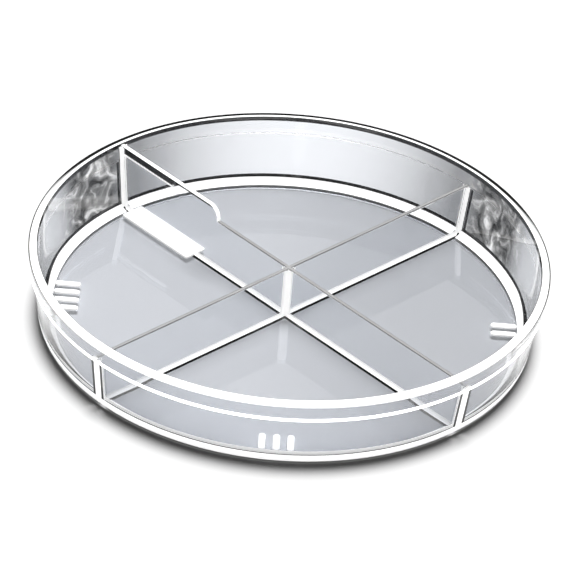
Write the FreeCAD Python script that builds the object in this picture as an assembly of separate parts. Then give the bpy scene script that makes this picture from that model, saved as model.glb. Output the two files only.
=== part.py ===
"""Open four-compartment petri dish base, moulded in clear polystyrene.

The origin is the centre of the resting face, +Z is up and the compartments face
+X, +Y, -X and -Y, so the four dividers run along the diagonals. Millimetres.

The real dish is one moulding. Each node here is one of its moulded features, cut
so that neighbours meet face to face and never overlap.
"""
import FreeCAD, Part
import math
import os

# ---- driving dimensions ---------------------------------------------------------
dish_height = 13.5            # resting face to the top of the rim
rim_outer_radius = 44.0
rim_inner_radius = 42.45
rim_land = 0.45               # flat inner part of the rim's top
rim_fall = 0.2                # how far the rim's top slopes down to its outer edge
rim_round = 0.45              # rounding of the rim's outer edge
rim_inner_round = 0.2
rim_edge_height = 0.8         # the rounded top part of the rim band
band_foot_round = 0.2         # rounding of the band's lower edge, at the step

step_level = 9.8              # the band above this level stands proud of the wall
step_depth = 0.55
wall_thickness = 1.1          # below the step, measured level

floor_top = 1.2
floor_underside = 0.3
inner_floor_radius = 40.75    # where the wall's slope would meet the floor's face
corner_radius = 1.6           # rounded corner inside, between floor and wall
heel_radius = 0.9             # rounded corner outside

foot_inner_radius = 39.0
foot_outer_radius = 40.6

divider_top = 10.6
divider_thickness = 0.8
divider_round = 0.2           # rounding of a divider's top edges
root_radius = 0.6             # hollow rounding along a divider's foot
end_radius = 0.8              # hollow rounding where a divider meets the wall
hub_half = 1.2                # the hub fills this half square at the crossing

tab_top = 13.1                # raised tab on one divider
tab_length = 24.6             # from the wall towards the hub
tab_corner_radius = 2.4

pad_start = 22.3              # index pad under the tab's divider, from the axis
pad_end = 38.9
pad_width = 4.9
pad_height = 0.3

bar_start = 34.8              # tally bars on the floor, from the axis
bar_end = 39.3
bar_width = 1.2
bar_pitch = 2.35
bar_height = 0.3

# ---- worked-out sizes -----------------------------------------------------------
wall_slope = (rim_inner_radius - inner_floor_radius) / (dish_height - floor_top)
wall_angle = math.atan(wall_slope)
corner_run = corner_radius * math.tan((math.pi / 2 - wall_angle) / 2)
corner_start_radius = inner_floor_radius - corner_run
corner_end_level = floor_top + corner_run * math.cos(wall_angle)
rim_edge_level = dish_height - rim_edge_height
cavity_top = dish_height + 2  # clear above the rim
divider_half = divider_thickness / 2

DIVIDER_ANGLES = {"back_right": 45, "back_left": 135, "front_left": 225, "front_right": 315}
TALLY_BARS = {"right": (0, 2), "left": (180, 4), "front": (270, 3)}


def inner_radius(level):
    """Radius of the wall's sloping inner face."""
    return inner_floor_radius + (level - floor_top) * wall_slope


def wall_radius(level):
    """Radius of the wall's outer face, below the step."""
    return inner_radius(level) + wall_thickness


def band_radius(level):
    """Radius of the rim band's outer face, above the step."""
    foot = wall_radius(step_level) + step_depth
    share = (level - step_level) / (dish_height - step_level)
    return foot + (rim_outer_radius - foot) * share


# ---- building blocks ------------------------------------------------------------
def profile_point(radius, level):
    return FreeCAD.Vector(radius, 0, level)


def line(start, end):
    return Part.LineSegment(start, end).toShape()


def arc(start, middle, end):
    return Part.Arc(start, middle, end).toShape()


def rounded_corner(before, corner, after, radius):
    """The arc that rounds a corner, as (start, middle, end) points."""
    to_before = (before - corner).normalize()
    to_after = (after - corner).normalize()
    half_angle = to_before.getAngle(to_after) / 2
    run = radius / math.tan(half_angle)
    bisector = (to_before + to_after).normalize()
    centre = corner + bisector * (radius / math.sin(half_angle))
    return corner + to_before * run, centre - bisector * radius, corner + to_after * run


def outline_face(corners):
    """A face from (point, rounding) corners; a rounding of 0 keeps the corner sharp."""
    stops = []
    for index, (corner, radius) in enumerate(corners):
        if radius:
            before = corners[index - 1][0]
            after = corners[(index + 1) % len(corners)][0]
            stops.append(rounded_corner(before, corner, after, radius))
        else:
            stops.append((corner,))
    edges = []
    for index, stop in enumerate(stops):
        if len(stop) == 3:
            edges.append(arc(*stop))
        edges.append(line(stop[-1], stops[(index + 1) % len(stops)][0]))
    return Part.Face(Part.Wire(edges))


def ring(corners):
    """Turn an outline of ((radius, level), rounding) corners once about +Z."""
    face = outline_face([(profile_point(*place), radius) for place, radius in corners])
    return face.revolve(FreeCAD.Vector(0, 0, 0), FreeCAD.Vector(0, 0, 1), 360)


def disc(radius, low, high):
    return Part.makeCylinder(radius, high - low, FreeCAD.Vector(0, 0, low))


def block(low, high):
    """A box between two corners."""
    size = [high[axis] - low[axis] for axis in range(3)]
    return Part.makeBox(*size, FreeCAD.Vector(*low))


def turned(shape, angle):
    """A copy turned about +Z by an angle in degrees."""
    copy = shape.copy()
    copy.rotate(FreeCAD.Vector(0, 0, 0), FreeCAD.Vector(0, 0, 1), angle)
    return copy


def mirrored_pair(shape):
    """The shape and its mirror image across the divider's own middle plane."""
    return shape, shape.mirror(FreeCAD.Vector(0, 0, 0), FreeCAD.Vector(0, 1, 0))


# ---- body of revolution ---------------------------------------------------------
def make_cavity():
    """Everything inside the dish, above its floor and up to above the rim."""
    return ring([
        ((0, floor_top), 0),
        ((inner_floor_radius, floor_top), corner_radius),
        ((inner_radius(cavity_top), cavity_top), 0),
        ((0, cavity_top), 0),
    ])


def make_floor_disc():
    return disc(corner_start_radius, floor_underside, floor_top)


def make_foot_ring():
    return disc(foot_outer_radius, 0, floor_underside).cut(disc(foot_inner_radius, 0, floor_underside))


def make_corner_heel(cavity):
    """The rounded corner between the floor and the wall."""
    heel = ring([
        ((corner_start_radius, floor_underside), 0),
        ((wall_radius(floor_underside), floor_underside), heel_radius),
        ((wall_radius(corner_end_level), corner_end_level), 0),
        ((corner_start_radius, corner_end_level), 0),
    ])
    return heel.cut(cavity)


def make_side_wall():
    return ring([
        ((inner_radius(corner_end_level), corner_end_level), 0),
        ((wall_radius(corner_end_level), corner_end_level), 0),
        ((wall_radius(step_level), step_level), 0),
        ((inner_radius(step_level), step_level), 0),
    ])


def make_rim_band():
    return ring([
        ((inner_radius(step_level), step_level), 0),
        ((band_radius(step_level), step_level), band_foot_round),
        ((band_radius(rim_edge_level), rim_edge_level), 0),
        ((inner_radius(rim_edge_level), rim_edge_level), 0),
    ])


def make_rim_edge():
    """The rim's top: a flat land inside, then a slope down to the rounded outer edge."""
    outer_top = dish_height - rim_fall
    return ring([
        ((inner_radius(rim_edge_level), rim_edge_level), 0),
        ((band_radius(rim_edge_level), rim_edge_level), 0),
        ((band_radius(outer_top), outer_top), rim_round),
        ((rim_inner_radius + rim_land, dish_height), 0),
        ((rim_inner_radius, dish_height), rim_inner_round),
    ])


# ---- dividers: built along +X, then turned to their diagonals ---------------------
def make_arm_blank(cavity):
    """A divider's plate from the hub to the wall, with its top edges rounded."""
    def corner(side, level):
        return FreeCAD.Vector(hub_half, side * divider_half, level)

    section = outline_face([
        (corner(-1, floor_top), 0),
        (corner(1, floor_top), 0),
        (corner(1, divider_top), divider_round),
        (corner(-1, divider_top), divider_round),
    ])
    return section.extrude(FreeCAD.Vector(rim_outer_radius, 0, 0)).common(cavity)


def hollow_strip(base, across, up, radius):
    """Face of a hollow quarter-round fillet, whose square corner is at base."""
    foot = base + across * radius
    head = base + up * radius
    centre = base + (across + up) * radius
    middle = centre - (across + up).normalize() * radius
    return Part.Face(Part.Wire([line(base, foot), arc(foot, middle, head), line(head, base)]))


def make_root_blanks(cavity):
    """The hollow fillets along both sides of a divider's foot."""
    base = FreeCAD.Vector(hub_half, divider_half, floor_top)
    face = hollow_strip(base, FreeCAD.Vector(0, 1, 0), FreeCAD.Vector(0, 0, 1), root_radius)
    strip = face.extrude(FreeCAD.Vector(rim_outer_radius, 0, 0)).common(cavity)
    return mirrored_pair(strip)


def make_end_blanks(cavity, roots):
    """The hollow fillets up both sides of a divider's end, along the sloping wall."""
    reach = math.sqrt(inner_radius(floor_top) ** 2 - divider_half ** 2)
    near = FreeCAD.Vector(reach - end_radius, divider_half, floor_top)
    wall = FreeCAD.Vector(reach, divider_half + end_radius, floor_top)
    bulge = end_radius * math.sin(math.pi / 4)
    middle = FreeCAD.Vector(near.x + bulge, wall.y - bulge, floor_top)
    beyond = FreeCAD.Vector(rim_outer_radius, 0, 0)
    outer_far = wall + FreeCAD.Vector(end_radius, 0, 0)
    outer_near = FreeCAD.Vector(outer_far.x, divider_half, floor_top)
    face = Part.Face(Part.Wire([
        arc(near, middle, wall),
        line(wall, outer_far),
        line(outer_far, outer_near),
        line(outer_near, near),
    ]))
    rise = divider_top - divider_round - floor_top
    strip = face.extrude(FreeCAD.Vector(rise * wall_slope, 0, rise)).common(cavity)
    return mirrored_pair(strip.cut(roots[0]))


def make_hub():
    """The post at the crossing, with a hollow corner between each two dividers."""
    hollow = hub_half - divider_half
    edges = []
    for quarter in range(4):
        turn = quarter * math.pi / 2

        def place(x, y):
            return FreeCAD.Vector(
                x * math.cos(turn) - y * math.sin(turn),
                x * math.sin(turn) + y * math.cos(turn),
                floor_top,
            )

        bulge = hub_half - hollow * math.sin(math.pi / 4)
        start = place(hub_half, divider_half)
        end = place(divider_half, hub_half)
        edges.append(line(place(hub_half, -divider_half), start))
        edges.append(arc(start, place(bulge, bulge), end))
    face = Part.Face(Part.Wire(edges))
    return face.extrude(FreeCAD.Vector(0, 0, divider_top - floor_top))


def make_key_tab(cavity, arm):
    """The raised stretch of one divider, next to the wall, with a rounded inner corner."""
    start = inner_radius(divider_top) - tab_length
    foot = divider_top - divider_round

    def corner(radius, level):
        return FreeCAD.Vector(radius, -divider_half, level)

    side = outline_face([
        (corner(start, foot), 0),
        (corner(rim_outer_radius, foot), 0),
        (corner(rim_outer_radius, tab_top), 0),
        (corner(start, tab_top), tab_corner_radius),
    ])
    return side.extrude(FreeCAD.Vector(0, divider_thickness, 0)).common(cavity).cut(arm)


def make_index_pad():
    return block((pad_start, -pad_width / 2, floor_top), (pad_end, pad_width / 2, floor_top + pad_height))


# ---- tally bars -----------------------------------------------------------------
def make_bar(offset):
    """One low bar along +X, its ends rounded, shifted sideways by offset."""
    half = bar_width / 2
    low = (bar_start + half, offset - half, floor_top)
    high = (bar_end - half, offset + half, floor_top + bar_height)
    bar = block(low, high)
    for radius in (bar_start + half, bar_end - half):
        end = Part.makeCylinder(half, bar_height, FreeCAD.Vector(radius, offset, floor_top))
        bar = bar.fuse(end)
    return bar.removeSplitter()


def make_tally(angle, count, cavity):
    bars = []
    for index in range(count):
        offset = (index - (count - 1) / 2) * bar_pitch
        bars.append(turned(make_bar(offset), angle).common(cavity))
    return bars


# ---- assembly -------------------------------------------------------------------
def make_nodes():
    cavity = make_cavity()
    nodes = {
        "floor_disc": [make_floor_disc()],
        "foot_ring": [make_foot_ring()],
        "corner_heel": [make_corner_heel(cavity)],
        "side_wall": [make_side_wall()],
        "rim_band": [make_rim_band()],
        "rim_edge": [make_rim_edge()],
        "divider_hub": [turned(make_hub(), 45)],
    }
    arm = make_arm_blank(cavity)
    roots = make_root_blanks(cavity)
    ends = make_end_blanks(cavity, roots)
    pad = make_index_pad()
    for place, angle in DIVIDER_ANGLES.items():
        has_pad = place == "back_left"
        for prefix, blanks in (("divider_", [arm]), ("root_fillet_", roots), ("end_fillet_", ends)):
            solids = [blank.cut(pad) if has_pad else blank for blank in blanks]
            nodes[prefix + place] = [turned(solid, angle) for solid in solids]
    nodes["key_tab"] = [turned(make_key_tab(cavity, arm), DIVIDER_ANGLES["back_left"])]
    nodes["index_pad"] = [turned(pad, DIVIDER_ANGLES["back_left"])]
    for side, (angle, count) in TALLY_BARS.items():
        nodes["tally_bars_" + side] = make_tally(angle, count, cavity)
    return nodes


def export(nodes):
    os.makedirs("parts", exist_ok=True)
    for name, shapes in nodes.items():
        solids = [solid for shape in shapes for solid in shape.Solids]
        shape = solids[0] if len(solids) == 1 else Part.makeCompound(solids)
        shape.exportStep("parts/" + name + ".step")
        print(f"{name:26s} solids {len(solids)} valid {shape.isValid()} volume {shape.Volume:9.3f}")


export(make_nodes())
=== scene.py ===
"""A clear four-compartment petri dish base on a pale surface.

The dish is one moulding, so its clear plastic is one seamless mesh that stands for all
the clear CAD nodes. The frosted index pad and the tally bars are pieces of their own.
Sizes come from the CAD frame. Meshes are made in millimetres and scaled to metres.
"""
import math

import bmesh
import bpy
from mathutils import Matrix, Vector


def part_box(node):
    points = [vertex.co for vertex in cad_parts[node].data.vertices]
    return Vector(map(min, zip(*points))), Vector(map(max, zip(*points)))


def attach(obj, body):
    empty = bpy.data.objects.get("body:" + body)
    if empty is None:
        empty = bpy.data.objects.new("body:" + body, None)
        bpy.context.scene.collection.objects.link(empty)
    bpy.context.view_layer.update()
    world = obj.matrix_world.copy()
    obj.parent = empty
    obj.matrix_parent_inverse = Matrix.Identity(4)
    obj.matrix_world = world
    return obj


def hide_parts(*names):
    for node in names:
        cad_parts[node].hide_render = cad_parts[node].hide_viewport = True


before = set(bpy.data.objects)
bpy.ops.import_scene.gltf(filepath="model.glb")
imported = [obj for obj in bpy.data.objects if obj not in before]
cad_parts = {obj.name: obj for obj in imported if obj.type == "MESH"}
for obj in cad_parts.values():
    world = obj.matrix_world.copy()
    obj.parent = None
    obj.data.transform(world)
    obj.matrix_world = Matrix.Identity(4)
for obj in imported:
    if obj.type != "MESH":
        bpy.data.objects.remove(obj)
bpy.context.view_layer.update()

MM = 0.001

# ---- sizes read from the frame, in millimetres -----------------------------------


def low(node):
    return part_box(node)[0] / MM


def high(node):
    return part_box(node)[1] / MM


LEVEL_REACH = 0.06            # how far from a level a CAD vertex may be to count as on it


def radii_near(node, level):
    """Radii of a CAD node's vertices that lie near a level."""
    points = [vertex.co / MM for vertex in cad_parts[node].data.vertices]
    return [point.xy.length for point in points if abs(point.z - level) < LEVEL_REACH]


DISH_HEIGHT = high("rim_edge").z
RIM_EDGE_LEVEL = low("rim_edge").z
STEP_LEVEL = low("rim_band").z
CORNER_END_LEVEL = low("side_wall").z
FLOOR_TOP = high("floor_disc").z
FLOOR_UNDERSIDE = low("floor_disc").z
CORNER_START_RADIUS = max(radii_near("floor_disc", FLOOR_TOP))
FOOT_OUTER_RADIUS = max(radii_near("foot_ring", 0))
FOOT_INNER_RADIUS = min(radii_near("foot_ring", 0))
DIVIDER_TOP = high("divider_hub").z
TAB_TOP = high("key_tab").z
PAD_TOP = high("index_pad").z

# the wall's inner and outer faces are straight lines in section, read at two levels each
INNER_LINE = (min(radii_near("side_wall", CORNER_END_LEVEL)), min(radii_near("side_wall", STEP_LEVEL)))
OUTER_LINE = (max(radii_near("side_wall", CORNER_END_LEVEL)), max(radii_near("side_wall", STEP_LEVEL)))
WALL_LEVELS = (CORNER_END_LEVEL, STEP_LEVEL)

# and so is the outer face of the band round the wall's top, above the rounding at its foot
BAND_FOOT_ROUND = 0.2
BAND_LEVELS = (STEP_LEVEL + BAND_FOOT_ROUND, RIM_EDGE_LEVEL)
BAND_LINE = (max(radii_near("rim_band", BAND_LEVELS[0])), max(radii_near("rim_edge", RIM_EDGE_LEVEL)))

# ---- sizes of the moulding's small shapes, in millimetres --------------------------
DIVIDER_THICKNESS = 0.8
RIM_LAND = 0.45               # width of the rim's flat inner part
RIM_FALL = 0.2                # how far the rim's top slopes down to its outer edge
RIM_ROUND = 0.45              # at the rim's outer edge
RIM_INNER_ROUND = 0.2
STEP_HOLLOW = 0.15            # between the wall and the underside of the band
CORNER_RADIUS = 1.6           # inside, between the floor and the wall
HEEL_RADIUS = 0.9             # outside, below the wall
FOOT_ROUND = 0.12
DIVIDER_ROUND = 0.2
ROOT_RADIUS = 0.6             # of the hollow fillets along the dividers' feet
END_RADIUS = 0.8              # where they meet the wall
HUB_HOLLOW = 0.8              # and each other
TAB_LENGTH = 24.6
TAB_CORNER_RADIUS = 2.4
PAD_START = 22.3
PAD_END = 38.9
PAD_WIDTH = 4.9
PAD_CORNER = 0.35
PAD_ROUND = 0.1
BAR_START = 34.8
BAR_END = 39.3
BAR_WIDTH = 1.2
BAR_PITCH = 2.35
BAR_HEIGHT = 0.3
BAR_ROUND = 0.22
PLATE_SINK = 0.05             # how far the frosted pieces reach into the clear floor
SINK = 0.3                    # how far joined shapes reach into each other
HUB_SINK = SINK * 0.8         # and the upright fillets into the floor, each to its own level,
END_SINK = SINK * 0.7         # or their undersides would coincide
WALL_SINK = 0.5               # how far dividers reach into the wall
TAB_SINK = 1.0                # and the tab into its divider
DIP = 0.003                   # how far hollow fillets dip under the faces that they blend into
FILLET_DROP = 0.05            # how far upright fillets end below a rounded edge
FILLET_TOP = DIVIDER_TOP - DIVIDER_ROUND - FILLET_DROP
TAB_FILLET_TOP = TAB_TOP - DIVIDER_ROUND - FILLET_DROP
MERGE_REACH = 0.0005          # vertices nearer than this become one
CUT_REACH = 0.0001            # vertices nearer than this to a cut are on it
TURN_STEPS = 288              # facets once round the dish
ARC_STEPS = 8                 # facets of each small rounding
SHARP_ANGLE = 35              # degrees between faces that meet in a hard edge

CROSS_ANGLE = 45              # the crossed dividers stand on the diagonals
TAB_ANGLE = 135
TALLY_BARS = {"right": (0, 2), "left": (180, 4), "front": (270, 3)}

# ---- where the moulding's painted highlight lines and painted shades begin and end, in millimetres ---
FACE_REACH = 0.01             # how far a point may be from the face that it is on
EDGE_REACH = 0.05             # and from the edge of a rounded one
OUTER_REACH = 0.1             # and from the wall's outer face
INSIDE_DEPTH = 0.3            # points deeper than this under the outer face are on the inside
RIM_LINE_LEVEL = DISH_HEIGHT - RIM_FALL - RIM_ROUND - 0.2         # lower edge of the rim's bright line
STEP_LINE_LEVEL = STEP_LEVEL + 0.75                               # upper edge of the step's
STEP_FOOT_LEVEL = STEP_LEVEL - 0.3                                # and its lower edge
HEEL_LINE_LEVEL = FLOOR_UNDERSIDE + HEEL_RADIUS + 0.8             # upper edge of the heel's
END_LINE = DIVIDER_THICKNESS / 2 + 0.3                            # half width of a divider's end line
END_SHADE = END_LINE + 0.55                                       # and of the shade on both its sides
END_REACH = END_RADIUS + 0.3                                      # an end fillet's reach from the wall
END_GAP = 0.1                                                     # a divider's top ends this far from it
HUB_EDGE_RADIUS = DIVIDER_THICKNESS / 2 + HUB_HOLLOW * 0.97       # edge of the hub's bright hollows
ROOT_SHADE = DIVIDER_THICKNESS / 2 + ROOT_RADIUS + 0.15           # edge of the shade in front of a divider
CORNER_SHADE_FRONT = -15                                          # the inside corner's shade is behind this
TAB_EDGE_LEVEL = TAB_TOP - 0.5                                    # the tab's inner end is bright below this
TAB_LINE_LEVEL = TAB_TOP - DIVIDER_ROUND - 0.25                   # the tab's shade: its lower edge
TAB_SHADE_LEVEL = TAB_TOP - DIVIDER_ROUND - 1.1                   # and near the wall, where it is deeper
TAB_SHADE_START = 29.0                                            # from the axis
TAB_GLINT_LEVEL = TAB_SHADE_LEVEL - 0.35                          # lower edge of the line under that shade


def along(line, levels, level):
    """Radius of a face that is a straight line in section, at any level."""
    share = (level - levels[0]) / (levels[1] - levels[0])
    return line[0] + (line[1] - line[0]) * share


def inner_radius(level):
    return along(INNER_LINE, WALL_LEVELS, level)


def wall_radius(level):
    return along(OUTER_LINE, WALL_LEVELS, level)


def band_radius(level):
    return along(BAND_LINE, BAND_LEVELS, level)


# ---- mesh building blocks ----------------------------------------------------------
def rounded_outline(corners, closed=True):
    """Points of an outline given as (x, y, rounding) corners, with arcs at the rounded ones."""
    points = []
    count = len(corners)
    for index, (x, y, radius) in enumerate(corners):
        corner = Vector((x, y))
        ends = not closed and index in (0, count - 1)
        if not radius or ends:
            points.append(corner)
            continue
        before = (Vector(corners[index - 1][:2]) - corner).normalized()
        after = (Vector(corners[(index + 1) % count][:2]) - corner).normalized()
        half = before.angle(after) / 2
        centre = corner + (before + after).normalized() * (radius / math.sin(half))
        start = corner + before * (radius / math.tan(half)) - centre
        end = corner + after * (radius / math.tan(half)) - centre
        sweep = start.angle_signed(end)
        for step in range(ARC_STEPS + 1):
            turn = Matrix.Rotation(-sweep * step / ARC_STEPS, 2)
            points.append(centre + turn @ start)
    return points


def new_object(name, bm):
    """A mesh object made from a bmesh in millimetres, still in millimetres."""
    bmesh.ops.recalc_face_normals(bm, faces=bm.faces)
    mesh = bpy.data.meshes.new(name)
    bm.to_mesh(mesh)
    bm.free()
    obj = bpy.data.objects.new(name, mesh)
    bpy.context.scene.collection.objects.link(obj)
    return obj


def lathe(name, outline):
    """Turn an open outline of (radius, level) points about Z and cap both its ends flat."""
    bm = bmesh.new()
    rings = []
    for radius, level in outline:
        ring = []
        for step in range(TURN_STEPS):
            angle = 2 * math.pi * step / TURN_STEPS
            ring.append(bm.verts.new((radius * math.cos(angle), radius * math.sin(angle), level)))
        rings.append(ring)
    for upper, lower in zip(rings, rings[1:]):
        for step in range(TURN_STEPS):
            following = (step + 1) % TURN_STEPS
            bm.faces.new((upper[step], upper[following], lower[following], lower[step]))
    bm.faces.new(rings[0])
    bm.faces.new(rings[-1])
    return new_object(name, bm)


def prism(name, section, start, end):
    """A closed solid between two copies of a section; start and end place its 2-D points."""
    bm = bmesh.new()
    first = [bm.verts.new(start(point)) for point in section]
    last = [bm.verts.new(end(point)) for point in section]
    bm.faces.new(first)
    bm.faces.new(last)
    for index in range(len(section)):
        following = (index + 1) % len(section)
        bm.faces.new((first[index], first[following], last[following], last[index]))
    return new_object(name, bm)


def inset_outline(outline, inset):
    """A closed outline moved inwards by a small distance."""
    middle = sum(outline, Vector((0, 0))) / len(outline)
    moved = []
    for index, point in enumerate(outline):
        tangent = outline[(index + 1) % len(outline)] - outline[index - 1]
        normal = Vector((-tangent.y, tangent.x)).normalized()
        if normal.dot(middle - point) < 0:
            normal = -normal
        moved.append(point + normal * inset)
    return moved


def round_over(radius):
    """(inset, drop) steps of a quarter round, from the side's edge up to the face's edge."""
    steps = [math.pi / 2 * step / ARC_STEPS for step in range(ARC_STEPS + 1)]
    return [(radius * (1 - math.cos(sweep)), radius * (1 - math.sin(sweep))) for sweep in steps]


def slab(bm, outline, layers, place):
    """A closed solid through layers (inset, height) of one outline; place makes 3-D points."""
    loops = []
    for inset, height in layers:
        loops.append([bm.verts.new(place(point, height)) for point in inset_outline(outline, inset)])
    bm.faces.new(loops[0])
    bm.faces.new(loops[-1])
    for lower, upper in zip(loops, loops[1:]):
        for index in range(len(outline)):
            following = (index + 1) % len(outline)
            bm.faces.new((lower[index], lower[following], upper[following], upper[index]))


def turn_mesh(obj, angle):
    obj.data.transform(Matrix.Rotation(math.radians(angle), 4, "Z"))
    return obj


def bake_modifiers(obj):
    """Replace the object's mesh by what its modifiers make of it."""
    bpy.context.view_layer.update()
    graph = bpy.context.evaluated_depsgraph_get()
    evaluated = obj.evaluated_get(graph)
    obj.data = bpy.data.meshes.new_from_object(evaluated, preserve_all_data_layers=True, depsgraph=graph)
    obj.modifiers.clear()


def unite(base, others):
    """Join other solids to base, one exact union each, and remove them."""
    for other in others:
        union = base.modifiers.new("union", "BOOLEAN")
        union.operation = "UNION"
        union.solver = "EXACT"
        union.object = other
        bake_modifiers(base)
        bpy.data.objects.remove(other)
    return base


# ---- the clear moulding --------------------------------------------------------------
def body_outline():
    """The dish in section: from its inside floor, over the rim, down to its underside."""
    inner_foot = inner_radius(FLOOR_TOP)
    rim_inner = inner_radius(DISH_HEIGHT)
    rim_edge = DISH_HEIGHT - RIM_FALL
    corners = [
        (CORNER_START_RADIUS - 1, FLOOR_TOP, 0),
        (inner_foot, FLOOR_TOP, CORNER_RADIUS),
        (inner_radius(RIM_LINE_LEVEL), RIM_LINE_LEVEL, 0),
        (rim_inner, DISH_HEIGHT, RIM_INNER_ROUND),
        (rim_inner + RIM_LAND, DISH_HEIGHT, 0),
        (band_radius(rim_edge), rim_edge, RIM_ROUND),
        (band_radius(STEP_LINE_LEVEL), STEP_LINE_LEVEL, 0),
        (band_radius(STEP_LEVEL), STEP_LEVEL, BAND_FOOT_ROUND),
        (wall_radius(STEP_LEVEL), STEP_LEVEL, STEP_HOLLOW),
        (wall_radius(HEEL_LINE_LEVEL), HEEL_LINE_LEVEL, 0),
        (wall_radius(FLOOR_UNDERSIDE), FLOOR_UNDERSIDE, HEEL_RADIUS),
        (FOOT_OUTER_RADIUS, FLOOR_UNDERSIDE, 0),
        (FOOT_OUTER_RADIUS, 0, FOOT_ROUND),
        (FOOT_INNER_RADIUS, 0, FOOT_ROUND),
        (FOOT_INNER_RADIUS, FLOOR_UNDERSIDE, 0),
    ]
    return rounded_outline(corners, closed=False)


def divider_section():
    """A divider in section: hollow fillets at its foot and rounded top edges."""
    half = DIVIDER_THICKNESS / 2
    foot = half + ROOT_RADIUS + DIP
    level = FLOOR_TOP - DIP
    right = [
        (foot, FLOOR_TOP - SINK, 0),
        (foot, level, 0),
        (half, level, ROOT_RADIUS),
        (half, DIVIDER_TOP, DIVIDER_ROUND),
    ]
    left = [(-x, y, radius) for x, y, radius in reversed(right)]
    return rounded_outline(right + left)


def wall_reach(level):
    """A radius inside the wall's thickness, where joined shapes end."""
    return inner_radius(level) + WALL_SINK


def make_divider(quarter):
    """One divider right across the dish, its ends sloping with the wall."""
    bar = prism(
        "divider",
        divider_section(),
        lambda point: (-wall_reach(point.y), point.x, point.y),
        lambda point: (wall_reach(point.y), point.x, point.y),
    )
    return turn_mesh(bar, 90 * quarter)


def hollow_corner(radius):
    """The square corner between two faces that meet at 0, 0, less a quarter circle."""
    section = [Vector((radius, 0)), Vector((radius, -SINK)), Vector((-SINK, -SINK))]
    section += [Vector((-SINK, radius)), Vector((0, radius))]
    for step in range(1, ARC_STEPS):
        sweep = math.pi / 2 * step / ARC_STEPS
        section.append(Vector((radius * (1 - math.cos(sweep)), radius * (1 - math.sin(sweep)))))
    return section


def make_hub_corner(quarter):
    """The hollow corner between two dividers at the crossing."""
    edge = DIVIDER_THICKNESS / 2 - DIP
    corner = prism(
        "hub_corner",
        hollow_corner(HUB_HOLLOW),
        lambda point: (edge + point.x, edge + point.y, FLOOR_TOP - HUB_SINK),
        lambda point: (edge + point.x, edge + point.y, FILLET_TOP),
    )
    return turn_mesh(corner, 90 * quarter)


def make_end_corner(quarter, side):
    """The hollow fillet between one side of a divider's end, or the tab's, and the sloping wall."""
    edge = DIVIDER_THICKNESS / 2 - DIP
    has_tab = 90 * quarter == TAB_ANGLE - CROSS_ANGLE

    def place(level):
        reach = math.sqrt(inner_radius(level) ** 2 - (edge + END_RADIUS) ** 2) + 3 * DIP
        return lambda point: (reach - point.x, side * (edge + point.y), level)

    corner = prism(
        "end_corner",
        hollow_corner(END_RADIUS),
        place(FLOOR_TOP - END_SINK),
        place(TAB_FILLET_TOP if has_tab else FILLET_TOP),
    )
    return turn_mesh(corner, 90 * quarter)


def make_tab():
    """The raised stretch of one divider, with rounded edges and a rounded inner corner."""
    half = DIVIDER_THICKNESS / 2 - DIP
    start = inner_radius(DIVIDER_TOP) - TAB_LENGTH
    foot = DIVIDER_TOP - TAB_SINK
    side = rounded_outline([
        (start, foot, 0),
        (wall_reach(foot), foot, 0),
        (wall_reach(TAB_TOP), TAB_TOP, 0),
        (start, TAB_TOP, TAB_CORNER_RADIUS),
    ])
    rounding = [(inset, half - drop) for inset, drop in round_over(DIVIDER_ROUND)]
    layers = [(inset, -height) for inset, height in reversed(rounding)] + rounding
    bm = bmesh.new()
    slab(bm, side, layers, lambda point, height: (point.x, height, point.y))
    return turn_mesh(new_object("tab", bm), TAB_ANGLE - CROSS_ANGLE)


def make_moulding():
    """All of the clear plastic as one seamless closed mesh."""
    adders = [make_divider(1), make_tab()]
    for quarter in range(4):
        adders.append(make_hub_corner(quarter))
        adders += [make_end_corner(quarter, side) for side in (-1, 1)]
    cross = turn_mesh(unite(make_divider(0), adders), CROSS_ANGLE)
    return unite(lathe("dish_moulding", body_outline()), [cross])


# ---- frosted pieces --------------------------------------------------------------------
def raised_plate(bm, outline, top, rounding):
    """A low plate on the dish's floor, its upper edge rounded over."""
    layers = [(0, FLOOR_TOP - PLATE_SINK)]
    layers += [(inset, top - drop) for inset, drop in round_over(rounding)]
    slab(bm, outline, layers, lambda point, height: (point.x, point.y, height))


def make_pad():
    bm = bmesh.new()
    half = PAD_WIDTH / 2
    outline = rounded_outline([
        (PAD_START, -half, PAD_CORNER),
        (PAD_END, -half, PAD_CORNER),
        (PAD_END, half, PAD_CORNER),
        (PAD_START, half, PAD_CORNER),
    ])
    raised_plate(bm, outline, PAD_TOP, PAD_ROUND)
    return turn_mesh(new_object("frosted_index_pad", bm), TAB_ANGLE)


def make_tally(side, angle, count):
    """A group of low bars with round ends, side by side."""
    bm = bmesh.new()
    half = BAR_WIDTH / 2
    end_radius = half * 0.999     # just short of half, so that the two arcs don't touch
    for index in range(count):
        offset = (index - (count - 1) / 2) * BAR_PITCH
        outline = rounded_outline([
            (BAR_START, offset - half, end_radius),
            (BAR_END, offset - half, end_radius),
            (BAR_END, offset + half, end_radius),
            (BAR_START, offset + half, end_radius),
        ])
        raised_plate(bm, outline, FLOOR_TOP + BAR_HEIGHT, BAR_ROUND)
    return turn_mesh(new_object("frosted_tally_" + side, bm), angle)


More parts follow.
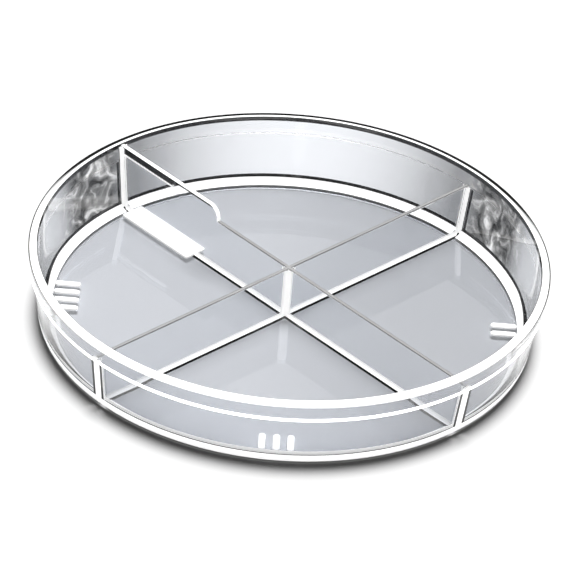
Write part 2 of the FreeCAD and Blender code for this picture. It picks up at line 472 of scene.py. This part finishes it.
# ---- finishing a piece --------------------------------------------------------------------
def finish_mesh(obj):
    """Clean the mesh, bring it to metres and give it smooth faces that stay flat where flat."""
    bm = bmesh.new()
    bm.from_mesh(obj.data)
    bmesh.ops.remove_doubles(bm, verts=bm.verts, dist=MERGE_REACH)
    bmesh.ops.dissolve_degenerate(bm, edges=bm.edges, dist=MERGE_REACH)
    bmesh.ops.recalc_face_normals(bm, faces=bm.faces)
    bm.to_mesh(obj.data)
    bm.free()
    obj.data.transform(Matrix.Scale(MM, 4))
    obj.data.shade_smooth()
    obj.data.set_sharp_from_angle(angle=math.radians(SHARP_ANGLE))
    weighted = obj.modifiers.new("weighted", "WEIGHTED_NORMAL")
    weighted.keep_sharp = True
    weighted.weight = 100
    bake_modifiers(obj)
    return obj


def cut_faces(bm, chosen, across, offset):
    """Cut the chosen faces along a plane that stands offset along the direction across."""
    faces = [face for face in bm.faces if chosen(face.calc_center_median())]
    edges = {edge for face in faces for edge in face.edges}
    verts = {vert for face in faces for vert in face.verts}
    bmesh.ops.bisect_plane(
        bm,
        geom=faces + list(edges) + list(verts),
        plane_co=across * offset,
        plane_no=across,
        dist=CUT_REACH,
    )


def on_tab_side(place):
    return place.z > DIVIDER_TOP and place.xy.length < inner_radius(place.z) - EDGE_REACH


def on_outer_wall(place):
    radius = place.xy.length
    return HEEL_LINE_LEVEL < place.z < STEP_LEVEL and radius > wall_radius(place.z) - OUTER_REACH


def on_floor(place):
    return abs(place.z - FLOOR_TOP) < FACE_REACH


def cut_lines(obj):
    """Cut the edges of the moulding's painted highlight lines and painted shade lines that no edge of its
    shape gives.
    """
    bm = bmesh.new()
    bm.from_mesh(obj.data)
    along_tab = Matrix.Rotation(math.radians(TAB_ANGLE), 3, "Z") @ Vector((1, 0, 0))
    cut_faces(bm, on_tab_side, Vector((0, 0, 1)), TAB_LINE_LEVEL)
    cut_faces(bm, on_tab_side, Vector((0, 0, 1)), TAB_SHADE_LEVEL)
    cut_faces(bm, on_tab_side, Vector((0, 0, 1)), TAB_GLINT_LEVEL)
    cut_faces(bm, on_tab_side, along_tab, TAB_SHADE_START)
    for quarter in range(2):
        across = Matrix.Rotation(math.radians(CROSS_ANGLE + 90 * quarter), 3, "Z") @ Vector((0, 1, 0))
        for offset in (-END_SHADE, -END_LINE, END_LINE, END_SHADE):
            cut_faces(bm, on_outer_wall, across, offset)
        # only on the side of each divider that faces the front
        cut_faces(bm, on_floor, across, -ROOT_SHADE if across.y > 0 else ROOT_SHADE)
    bm.to_mesh(obj.data)
    bm.free()
    return obj


# ---- how each face of the moulding looks ---------------------------------------------------
# places are points in millimetres, and normals are unit vectors
# rim, step, heel and edge are painted highlights that glow, the rim's cut off at a slant; top and line are
# painted greys; shade is painted shade, near black; wall holds a painted dark band and painted reflections,
# and floor a painted shade towards the right
LOOKS = ("body", "floor", "wall", "outside", "rim", "step", "heel", "edge", "shade", "top", "line")

# the upward part of a face's normal, where one look ends and the next begins; below, bright stands for a
# painted highlight and dark for painted shade
LEVEL_PART = 0.98             # level faces are above this
UPRIGHT_PART = 0.3            # upright faces are below this
TAB_ROUND_PART = 0.35         # the tab's rounded edges
TOP_ROUND_PART = 0.5          # the dividers' rounded top edges
ROOT_EDGE_PART = 0.05         # the fillets at the dividers' feet are bright above this
ROOT_SHADE_PART = 0.8         # and dark above this, next to the floor
CORNER_PART = 0.17            # the inside corner
INNER_SHADE_PART = 0.4        # the inside corner and the rim's inner edge are dark below this
# and the outward part
WALL_PART = 0.8               # the wall's faces
END_EDGE_PART = 0.15          # the fillets at the dividers' ends are bright above this
END_SHADE_PART = 0.9          # dark above this, next to the wall
END_WALL_PART = 0.97          # and plain above this


def from_dividers(place):
    """Signed distances of a point from the middle planes of the two crossed dividers."""
    return Matrix.Rotation(math.radians(CROSS_ANGLE), 2) @ place.xy


def across_divider(place):
    """How far a point is from the middle plane of the nearest divider."""
    return min(abs(distance) for distance in from_dividers(place))


def in_root_shade(place):
    """Whether a point is on the floor, close in front of a divider."""
    first, second = from_dividers(place)
    return on_floor(place) and (0 < first < ROOT_SHADE or -ROOT_SHADE < second < 0)


def look_near_tab(radius, level, across, normal):
    """The tab: painted highlights on its rounded edges, a painted shade below them and a painted highlight
    line under its deeper part.
    """
    if abs(normal.z) > TAB_ROUND_PART:
        return "edge"
    if level < TAB_EDGE_LEVEL and across < DIVIDER_THICKNESS / 4:
        return "edge"
    if level > TAB_LINE_LEVEL or level > TAB_SHADE_LEVEL and radius > TAB_SHADE_START:
        return "shade"
    if level > TAB_GLINT_LEVEL and radius > TAB_SHADE_START:
        return "edge"
    return None


def look_on_divider(place, normal):
    """Look of a divider's hollow fillets, its top and its tab, or None on its plain sides."""
    radius = place.xy.length
    level = place.z
    across = across_divider(place)
    half = DIVIDER_THICKNESS / 2
    to_wall = inner_radius(level) - radius
    if to_wall < 0:
        return None
    # the fillet at its foot: a painted highlight, and painted shade next to the floor
    if across < half + ROOT_RADIUS and FLOOR_TOP - FACE_REACH < level < FLOOR_TOP + ROOT_RADIUS:
        if normal.z > ROOT_SHADE_PART:
            return "shade"
        return "edge" if normal.z > ROOT_EDGE_PART else None
    # its top, with the tab on it: a painted grey on the flat and painted dark lines on its rounded edges
    if across < half + EDGE_REACH and level > DIVIDER_TOP - DIVIDER_ROUND and to_wall > END_GAP:
        if level > DIVIDER_TOP + EDGE_REACH:
            return look_near_tab(radius, level, across, normal)
        if normal.z > LEVEL_PART:
            return "top"
        return "line" if normal.z > TOP_ROUND_PART else None
    # the upright fillets at the hub and at the wall: painted highlights, with painted shade beside them
    if level < FLOOR_TOP or abs(normal.z) > UPRIGHT_PART:
        return None
    if radius < math.hypot(half, half + HUB_HOLLOW):
        return "edge" if radius < HUB_EDGE_RADIUS else "shade"
    if to_wall < END_REACH and half - FACE_REACH < across < half + END_RADIUS:
        outward = abs(normal.xy.normalized().dot(place.xy.normalized()))
        if END_EDGE_PART < outward < END_WALL_PART:
            return "edge" if outward < END_SHADE_PART else "shade"
    return None


def look_on_body(place, normal):
    """Look of the turned body's rim, step, heel and inside corner, or None on its plain faces."""
    radius = place.xy.length
    level = place.z
    inside = radius < wall_radius(level) - INSIDE_DEPTH
    # painted highlights on the rim, the step, the heel and the dividers' end lines on the outer wall, with
    # painted shade on the rim's inner edge and beside the end lines
    if level > RIM_LINE_LEVEL:
        return "shade" if inside and normal.z < INNER_SHADE_PART else "rim"
    if not inside and STEP_FOOT_LEVEL < level < STEP_LINE_LEVEL:
        return "step"
    if not inside and radius > FOOT_OUTER_RADIUS and level < HEEL_LINE_LEVEL and normal.z > -LEVEL_PART:
        return "heel"
    if not inside and on_outer_wall(place) and across_divider(place) < END_SHADE:
        return "edge" if across_divider(place) < END_LINE else "shade"
    # the inside corner: a painted highlight band, with a painted shade line along its upper part behind
    # CORNER_SHADE_FRONT
    in_corner = radius > CORNER_START_RADIUS and FLOOR_TOP < level < FLOOR_TOP + CORNER_RADIUS
    if inside and in_corner and normal.z > CORNER_PART:
        return "shade" if normal.z < INNER_SHADE_PART and place.y > CORNER_SHADE_FRONT else "rim"
    return None


def look_of_face(place, normal):
    """Look of any face, by its middle and its normal."""
    look = look_on_divider(place, normal) or look_on_body(place, normal)
    if look:
        return look
    outward = normal.dot(Vector((place.x, place.y, 0)).normalized())
    if place.xy.length > CORNER_START_RADIUS and abs(outward) > WALL_PART:
        return "wall" if outward < 0 else "outside"
    if in_root_shade(place):
        return "shade"
    if abs(normal.z) > LEVEL_PART and place.z < FLOOR_TOP + FACE_REACH:
        return "floor"
    return "body"


def mark_faces(obj):
    for face in obj.data.polygons:
        face.material_index = LOOKS.index(look_of_face(face.center / MM, face.normal))


# ---- materials ---------------------------------------------------------------------------
TINT = (0.905, 0.935, 1.0)         # the plastic's faint blue
PLAIN_TINT = (0.975, 0.985, 1.0)   # fainter still, for the dividers and the outside
WHITE = (1, 1, 1)
CLEAR_IOR = 1.59
# emission strengths: a painted glow that lights these parts up, though they are no lamps
EDGE_GLOW = 0.6
STEP_GLOW = 2.2
TOP_GLOW = 0.1
LINE_GLOW = 0.0
FROST_GLOW = 0.4

# sizes of the noises, larger numbers for finer ones
PAINTED_REFLECTION_SCALE = 320             # the wall's painted reflections, a dark mottling
WAVE_SCALE = 90               # the clear plastic's flow waves
GRAIN_SCALE = 4000            # the frosted plastic's grain
STAGE_SCALE = 30              # the pale surface's faint clouds

# greys that are the same all over: white for painted highlights, near black for painted shade, and the
# painted greys of the dividers' tops and of the lines along their rounded edges
EDGE_GREY = 1.0
SHADE_GREY = 0.0005
TOP_GREY = 0.38
LINE_GREY = 0.12

# greys that follow how squarely a surface is seen, as (1 - cosine, grey) stops
BODY_STOPS = ((0.0, 0.97), (0.2, 0.97), (0.45, 0.86), (0.95, 0.78))
FLOOR_STOPS = ((0.0, 0.95), (0.2, 0.95), (0.45, 0.72), (0.95, 0.46))
# the wall's grey is partly the plastic's tint and partly painted shade: a dark band where the wall is seen
# at a middling slant, light again where it is seen nearly edge-on
WALL_TINT_AND_PAINTED_SHADE_STOPS = (
    (0.09, 0.83), (0.155, 0.5), (0.22, 0.22), (0.28, 0.09),
    (0.5, 0.12), (0.57, 0.3), (0.68, 0.45), (0.9, 0.9),
)
OUTSIDE_STOPS = ((0.0, 0.92), (1.0, 0.97))
# the rim's painted highlight: white where the rim is seen squarely, cut off to black at a slant; it also
# paints the inside corner's bright band
RIM_PAINTED_HIGHLIGHT_STOPS = ((0.0, 1.0), (0.49, 1.0), (0.53, 0.0))

# the wall's painted reflections, a dark mottling: how much it shows, by the same measure, and its greys
# from noise
PAINTED_REFLECTION_FACING = ((0.3, 0.0), (0.37, 1.0), (0.53, 1.0), (0.64, 0.0))
PAINTED_REFLECTION_STOPS = ((0.38, 0.001), (0.52, 0.04), (0.62, 0.2), (0.72, 0.7))

# painted shade: the floor darkens from left to right, between -FLOOR_SIDE and FLOOR_SIDE millimetres
FLOOR_PAINTED_SHADE_STOPS = ((0.0, 1.0), (0.45, 0.97), (0.75, 0.82), (1.0, 0.8))
FLOOR_SIDE = 40

# how much straight light a surface lets through; the wall's follows the level, from 0 at the
# dish's underside to 1 at its rim
FLOOR_STRAIGHT = 0.88
EDGE_STRAIGHT = 0.15
WALL_STRAIGHT = ((0.0, 0.02), (0.2, 0.08), (0.45, 0.4), (0.75, 0.85), (1.0, 0.95))


def node_material(name):
    """A new material, its node tree and its Principled node."""
    material = bpy.data.materials.new(name)
    material.use_nodes = True
    return material, material.node_tree, material.node_tree.nodes["Principled BSDF"]


def add_noise(tree, scale, detail):
    place = tree.nodes.new("ShaderNodeTexCoord")
    noise = tree.nodes.new("ShaderNodeTexNoise")
    noise.inputs["Scale"].default_value = scale
    noise.inputs["Detail"].default_value = detail
    tree.links.new(place.outputs["Object"], noise.inputs["Vector"])
    return noise


def add_range(tree, source, low_value, high_value):
    scaled = tree.nodes.new("ShaderNodeMapRange")
    scaled.inputs["To Min"].default_value = low_value
    scaled.inputs["To Max"].default_value = high_value
    tree.links.new(source, scaled.inputs["Value"])
    return scaled.outputs["Result"]


def add_bump(tree, principled, height, strength, distance):
    bump = tree.nodes.new("ShaderNodeBump")
    bump.inputs["Strength"].default_value = strength
    bump.inputs["Distance"].default_value = distance
    tree.links.new(height, bump.inputs["Height"])
    tree.links.new(bump.outputs["Normal"], principled.inputs["Normal"])


def tinted(grey, tint):
    return (grey * tint[0], grey * tint[1], grey * tint[2], 1)


def add_ramp(tree, source, stops, tint=WHITE):
    """A tinted grey that follows a value, as (value, grey) stops."""
    ramp = tree.nodes.new("ShaderNodeValToRGB")
    elements = ramp.color_ramp.elements
    while len(elements) < len(stops):
        elements.new(0.5)
    for element, (position, grey) in zip(elements, stops):
        element.position = position
        element.color = tinted(grey, tint)
    tree.links.new(source, ramp.inputs["Fac"])
    return ramp.outputs["Color"]


def add_grey(tree, add_source, grey, tint=WHITE):
    """A tinted grey that is the same all over, or a ramp of stops that follows a source."""
    if isinstance(grey, float):
        return tinted(grey, tint)
    return add_ramp(tree, add_source(tree), grey, tint)


def set_colour(tree, socket, colour):
    """Sets a colour on its socket, or links it there if it comes from a node."""
    if isinstance(colour, tuple):
        socket.default_value = colour
    else:
        tree.links.new(colour, socket)


def add_place(tree, axis, low_place, high_place):
    """0 to 1 between two places in millimetres along one of the dish's axes."""
    place = tree.nodes.new("ShaderNodeTexCoord")
    split = tree.nodes.new("ShaderNodeSeparateXYZ")
    tree.links.new(place.outputs["Object"], split.inputs["Vector"])
    scaled = tree.nodes.new("ShaderNodeMapRange")
    scaled.inputs["From Min"].default_value = low_place * MM
    scaled.inputs["From Max"].default_value = high_place * MM
    tree.links.new(split.outputs[axis], scaled.inputs["Value"])
    return scaled.outputs["Result"]


def add_height(tree):
    """0 at the dish's underside and 1 at its rim."""
    return add_place(tree, "Z", 0, DISH_HEIGHT)


def add_facing(tree):
    """1 - cosine of the angle at which a surface is seen."""
    facing = tree.nodes.new("ShaderNodeLayerWeight")
    facing.inputs["Blend"].default_value = 0.5
    return facing.outputs["Facing"]


def add_mix(tree, kind, first, second):
    """A node that mixes two colours, in full while its Factor isn't linked, and its result."""
    mix = tree.nodes.new("ShaderNodeMix")
    mix.data_type = "RGBA"
    mix.blend_type = kind
    mix.inputs["Factor"].default_value = 1.0
    colours = [socket for socket in mix.inputs if socket.type == "RGBA"]
    tree.links.new(first, colours[0])
    tree.links.new(second, colours[1])
    return mix, next(socket for socket in mix.outputs if socket.type == "RGBA")


def add_painted_reflections(tree, colour):
    """The colour with painted reflections, a dark mottling, where the wall is seen at a middling slant."""
    noise = add_noise(tree, PAINTED_REFLECTION_SCALE, 3)
    noise.inputs["Distortion"].default_value = 1.0
    spots = add_ramp(tree, noise.outputs["Fac"], PAINTED_REFLECTION_STOPS)
    mix, mottled = add_mix(tree, "MIX", colour, spots)
    tree.links.new(add_ramp(tree, add_facing(tree), PAINTED_REFLECTION_FACING), mix.inputs["Factor"])
    return mottled


def add_painted_side_shade(tree, colour):
    """The colour with a painted shade, darker towards the dish's right."""
    shades = add_ramp(tree, add_place(tree, "X", -FLOOR_SIDE, FLOOR_SIDE), FLOOR_PAINTED_SHADE_STOPS)
    return add_mix(tree, "MULTIPLY", colour, shades)[1]


def let_lamps_through(tree, shader, straight_grey):
    """Lets straight light through the plastic, which a path tracer's shadows wouldn't."""
    path = tree.nodes.new("ShaderNodeLightPath")
    either = tree.nodes.new("ShaderNodeMath")
    either.operation = "MAXIMUM"
    tree.links.new(path.outputs["Is Shadow Ray"], either.inputs[0])
    tree.links.new(path.outputs["Is Diffuse Ray"], either.inputs[1])
    straight = tree.nodes.new("ShaderNodeBsdfTransparent")
    set_colour(tree, straight.inputs["Color"], add_grey(tree, add_height, straight_grey))
    mix = tree.nodes.new("ShaderNodeMixShader")
    tree.links.new(either.outputs["Value"], mix.inputs["Fac"])
    tree.links.new(shader, mix.inputs[1])
    tree.links.new(straight.outputs["BSDF"], mix.inputs[2])
    tree.links.new(mix.outputs["Shader"], tree.nodes["Material Output"].inputs["Surface"])


def add_waves(tree, principled):
    """Faint flow waves, in the plastic's gloss and its surface."""
    waves = add_noise(tree, WAVE_SCALE, 2)
    tree.links.new(
        add_range(tree, waves.outputs["Fac"], 0.0, 0.03),
        principled.inputs["Roughness"],
    )
    add_bump(tree, principled, waves.outputs["Fac"], 0.1, 0.0004)


def clear_polystyrene(name, grey, straight, tint=TINT, painted_reflections=False, painted_side_shade=False):
    """Clear moulded plastic with faint flow waves; stops make it greyer at a slant, on the wall with a dark
    band of painted shade, and it may carry painted reflections and a painted shade towards the right.
    """
    material, tree, principled = node_material(name)
    principled.inputs["Transmission Weight"].default_value = 1.0
    principled.inputs["IOR"].default_value = CLEAR_IOR
    colour = add_grey(tree, add_facing, grey, tint)
    if painted_reflections:
        colour = add_painted_reflections(tree, colour)
    if painted_side_shade:
        colour = add_painted_side_shade(tree, colour)
    set_colour(tree, principled.inputs["Base Color"], colour)
    add_waves(tree, principled)
    let_lamps_through(tree, principled.outputs["BSDF"], straight)
    return material


def painted_light_polystyrene(name, grey, glow, straight):
    """The moulding's edges and fillets in a painted grey that also glows by emission: light greys are
    painted highlights, standing in for light caught inside the plastic that comes out at them, and dark
    greys are painted shade lines.
    """
    material, tree, principled = node_material(name)
    colour = add_grey(tree, add_facing, grey)
    set_colour(tree, principled.inputs["Base Color"], colour)
    set_colour(tree, principled.inputs["Emission Color"], colour)
    principled.inputs["Emission Strength"].default_value = glow
    principled.inputs["Transmission Weight"].default_value = 0.2
    principled.inputs["IOR"].default_value = CLEAR_IOR
    principled.inputs["Roughness"].default_value = 0.25
    let_lamps_through(tree, principled.outputs["BSDF"], straight)
    return material


def painted_highlight_step_polystyrene(name):
    """A painted highlight that glows white like the other edges, but turns clear where it is seen from
    behind, through the wall.
    """
    material, tree, principled = node_material(name)
    side = tree.nodes.new("ShaderNodeNewGeometry")
    share = add_range(tree, side.outputs["Backfacing"], 1.0, 0.0)
    principled.inputs["Base Color"].default_value = (1, 1, 1, 1)
    tree.links.new(share, principled.inputs["Emission Color"])
    principled.inputs["Emission Strength"].default_value = STEP_GLOW
    tree.links.new(add_range(tree, share, 1.0, 0.2), principled.inputs["Transmission Weight"])
    principled.inputs["IOR"].default_value = CLEAR_IOR
    principled.inputs["Roughness"].default_value = 0.05
    let_lamps_through(tree, principled.outputs["BSDF"], WALL_STRAIGHT)
    return material


def moulding_materials():
    """One material for each of LOOKS, in the same order."""
    return [
        clear_polystyrene("clear_polystyrene", BODY_STOPS, FLOOR_STRAIGHT, PLAIN_TINT),
        clear_polystyrene("clear_polystyrene_floor", FLOOR_STOPS, FLOOR_STRAIGHT, painted_side_shade=True),
        clear_polystyrene("clear_polystyrene_wall", WALL_TINT_AND_PAINTED_SHADE_STOPS, WALL_STRAIGHT, painted_reflections=True),
        clear_polystyrene("clear_polystyrene_outside", OUTSIDE_STOPS, WALL_STRAIGHT, PLAIN_TINT),
        painted_light_polystyrene("edge_polystyrene_rim", RIM_PAINTED_HIGHLIGHT_STOPS, EDGE_GLOW, WALL_STRAIGHT),
        painted_highlight_step_polystyrene("edge_polystyrene_step"),
        painted_light_polystyrene("edge_polystyrene_heel", EDGE_GREY, EDGE_GLOW, WALL_STRAIGHT),
        painted_light_polystyrene("painted_light_polystyrene", EDGE_GREY, EDGE_GLOW, EDGE_STRAIGHT),
        clear_polystyrene("clear_polystyrene_shade", SHADE_GREY, FLOOR_STRAIGHT),
        painted_light_polystyrene("edge_polystyrene_top", TOP_GREY, TOP_GLOW, FLOOR_STRAIGHT),
        painted_light_polystyrene("edge_polystyrene_line", LINE_GREY, LINE_GLOW, FLOOR_STRAIGHT),
    ]


def frosted_polystyrene():
    """The same plastic with a fine frosted texture, which scatters light and looks white, with a painted
    glow by emission on top.
    """
    material, tree, principled = node_material("frosted_polystyrene")
    grain = add_noise(tree, GRAIN_SCALE, 3)
    white = add_ramp(tree, grain.outputs["Fac"], ((0.0, 0.86), (1.0, 0.98)))
    tree.links.new(white, principled.inputs["Base Color"])
    tree.links.new(
        add_range(tree, grain.outputs["Fac"], 0.45, 0.65),
        principled.inputs["Roughness"],
    )
    add_bump(tree, principled, grain.outputs["Fac"], 0.5, 0.00005)
    # painted glow: the frosted white also lights itself by emission
    tree.links.new(white, principled.inputs["Emission Color"])
    principled.inputs["Emission Strength"].default_value = FROST_GLOW
    return material


def stage_material():
    material, tree, principled = node_material("pale_surface")
    noise = add_noise(tree, STAGE_SCALE, 2)
    grey = add_ramp(tree, noise.outputs["Fac"], ((0.0, 0.90), (1.0, 0.92)))
    tree.links.new(grey, principled.inputs["Base Color"])
    principled.inputs["Roughness"].default_value = 0.8
    principled.inputs["Specular IOR Level"].default_value = 0.2
    return material


# ---- stage, lights and camera ---------------------------------------------------------------
STAGE_SIZE = 3.0
STAGE_DROP = 0.00003          # just under the dish, so that their faces don't coincide
# light from all round that changes with height, as (sine of elevation, grey) stops
WORLD_STOPS = ((0.0, 0.05), (0.25, 0.1), (0.5, 1.0), (1.0, 1.0))
WORLD_STRENGTH = 0.09
KEY_STRENGTH = 4.0
KEY_ANGLE = 24                # degrees that the key light spans
KEY_PLACE = (0.02, 0.22, 1)
PANEL_PLACE = (0, 1.24, 0.84)      # seen only in glossy reflections
PANEL_SIZE = 0.6
PANEL_POWER = 0.58


def make_stage():
    bm = bmesh.new()
    bmesh.ops.create_grid(bm, x_segments=1, y_segments=1, size=STAGE_SIZE)
    mesh = bpy.data.meshes.new("stage_floor")
    bm.to_mesh(mesh)
    bm.free()
    floor = bpy.data.objects.new("stage_floor", mesh)
    bpy.context.scene.collection.objects.link(floor)
    floor.location.z = -STAGE_DROP
    floor.data.materials.append(stage_material())


def make_world():
    world = bpy.data.worlds.new("studio")
    bpy.context.scene.world = world
    world.use_nodes = True
    tree = world.node_tree
    place = tree.nodes.new("ShaderNodeTexCoord")
    split = tree.nodes.new("ShaderNodeSeparateXYZ")
    tree.links.new(place.outputs["Generated"], split.inputs["Vector"])
    grey = add_ramp(tree, split.outputs["Z"], WORLD_STOPS)
    tree.links.new(grey, tree.nodes["Background"].inputs["Color"])
    tree.nodes["Background"].inputs["Strength"].default_value = WORLD_STRENGTH


def add_light(name, kind, place, strength):
    """A light at a place, aimed at the origin."""
    data = bpy.data.lights.new(name, kind)
    data.energy = strength
    light = bpy.data.objects.new(name, data)
    bpy.context.scene.collection.objects.link(light)
    light.location = place
    light.rotation_euler = (-Vector(place)).to_track_quat("-Z", "Y").to_euler()
    return light


def make_lights():
    key = add_light("key", "SUN", KEY_PLACE, KEY_STRENGTH)
    key.data.angle = math.radians(KEY_ANGLE)
    panel = add_light("panel", "AREA", PANEL_PLACE, PANEL_POWER)
    panel.data.size = PANEL_SIZE
    panel.visible_camera = False
    panel.visible_diffuse = False
    panel.visible_transmission = False


CAMERA_AZIMUTH = 0.53         # degrees; 0 looks along +Y
CAMERA_ELEVATION = 34.14
CAMERA_ROLL = 4.81
CAMERA_DISTANCE = 0.95
CAMERA_LENS = 352.5
CAMERA_TARGET = (0.000137, 0.0, 0.00635)


def make_camera():
    azimuth, elevation, roll = (
        math.radians(angle) for angle in (CAMERA_AZIMUTH, CAMERA_ELEVATION, CAMERA_ROLL)
    )
    forward = Vector((
        math.sin(azimuth) * math.cos(elevation),
        math.cos(azimuth) * math.cos(elevation),
        -math.sin(elevation),
    ))
    level_right = Vector((math.cos(azimuth), -math.sin(azimuth), 0))
    level_up = level_right.cross(forward)
    right = level_right * math.cos(roll) + level_up * math.sin(roll)
    up = right.cross(forward)
    data = bpy.data.cameras.new("camera")
    data.lens = CAMERA_LENS
    data.sensor_width = 36
    data.clip_start = 0.01
    camera = bpy.data.objects.new("camera", data)
    bpy.context.scene.collection.objects.link(camera)
    turn = Matrix((right, up, -forward)).transposed().to_4x4()
    camera.matrix_world = Matrix.Translation(Vector(CAMERA_TARGET) - forward * CAMERA_DISTANCE) @ turn
    bpy.context.scene.camera = camera


def let_light_bounce():
    """Clear plastic needs many bounces, or its inner reflections turn black."""
    cycles = bpy.context.scene.cycles
    cycles.max_bounces = 40
    cycles.glossy_bounces = 32
    cycles.transmission_bounces = 40
    cycles.transparent_max_bounces = 40
    cycles.diffuse_bounces = 4


# ---- putting it together ------------------------------------------------------------------
def show(obj, materials, slot, *nodes):
    """Give a finished piece its materials and its place in the frame."""
    obj.data.materials.clear()
    for material in materials:
        obj.data.materials.append(material)
    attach(obj, "root")
    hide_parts(*nodes)


make_camera()
make_stage()
make_world()
make_lights()
let_light_bounce()
bpy.context.scene.view_settings.view_transform = "Standard"

frosted_nodes = ["index_pad"] + ["tally_bars_" + side for side in TALLY_BARS]
clear_nodes = [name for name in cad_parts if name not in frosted_nodes]
moulding = finish_mesh(cut_lines(make_moulding()))
show(moulding, moulding_materials(), "clear_polystyrene", *clear_nodes)
mark_faces(moulding)

frosted = [frosted_polystyrene()]
show(finish_mesh(make_pad()), frosted, "frosted_polystyrene", "index_pad")
for side, (angle, count) in TALLY_BARS.items():
    tally = finish_mesh(make_tally(side, angle, count))
    show(tally, frosted, "frosted_polystyrene", "tally_bars_" + side)
